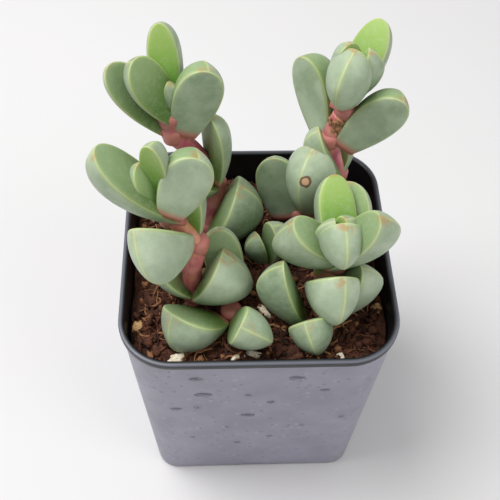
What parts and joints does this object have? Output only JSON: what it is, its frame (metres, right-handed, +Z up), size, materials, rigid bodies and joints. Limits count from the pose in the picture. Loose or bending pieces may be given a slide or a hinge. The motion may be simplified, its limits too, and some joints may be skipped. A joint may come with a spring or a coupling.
{
  "type": "potted ice plant",
  "caption": "Potted ice plant: fleshy three-sided grey-green leaves in opposite pairs on short pink stems, in a small square black nursery pot.",
  "frame": {"origin": "centre of the pot's underside, on the resting plane", "axes": "+Z up along the pot's centre line, -Y towards the pot's front face, +X to the right as seen from the front"},
  "size_m": [0.0696, 0.0659, 0.1153],
  "materials": {
    "pot_plastic": "black, smooth, slightly glossy",
    "potting_mix": "dark brown, fibrous, damp",
    "leaf_flesh": "waxy grey-green with pale ridges",
    "stem_skin": "fleshy pink to magenta",
    "perlite": "rough, pale cream",
    "bark_chip": "rough, tan"
  },
  "bodies": {
    "root": {"chip_left": "bark_chip", "chip_orange": "bark_chip", "chip_round": "bark_chip", "leaves_head_a": "leaf_flesh", "leaves_head_b": "leaf_flesh", "leaves_head_c": "leaf_flesh", "leaves_head_d": "leaf_flesh", "leaves_leaf_c_lowest": "leaf_flesh", "leaves_pair_a_low": "leaf_flesh", "leaves_pair_a_middle": "leaf_flesh", "leaves_pair_b_low": "leaf_flesh", "leaves_pair_b_middle": "leaf_flesh", "leaves_pair_c_low": "leaf_flesh", "leaves_pair_c_middle": "leaf_flesh", "leaves_pair_d_middle": "leaf_flesh", "leaves_pair_e": "leaf_flesh", "leaves_pair_f": "leaf_flesh", "leaves_rosette_d": "leaf_flesh", "leaves_rosette_k": "leaf_flesh", "perlite_by_leaf": "perlite", "perlite_flat": "perlite", "perlite_front_left": "perlite", "perlite_front_middle": "perlite", "perlite_front_right": "perlite", "perlite_long": "perlite", "pot": "pot_plastic", "soil": "potting_mix", "stem_a": "stem_skin", "stem_b": "stem_skin", "stem_c": "stem_skin", "stem_d": "stem_skin", "stem_e": "stem_skin", "stem_f": "stem_skin", "stem_k": "stem_skin"}
  },
  "joints": []
}
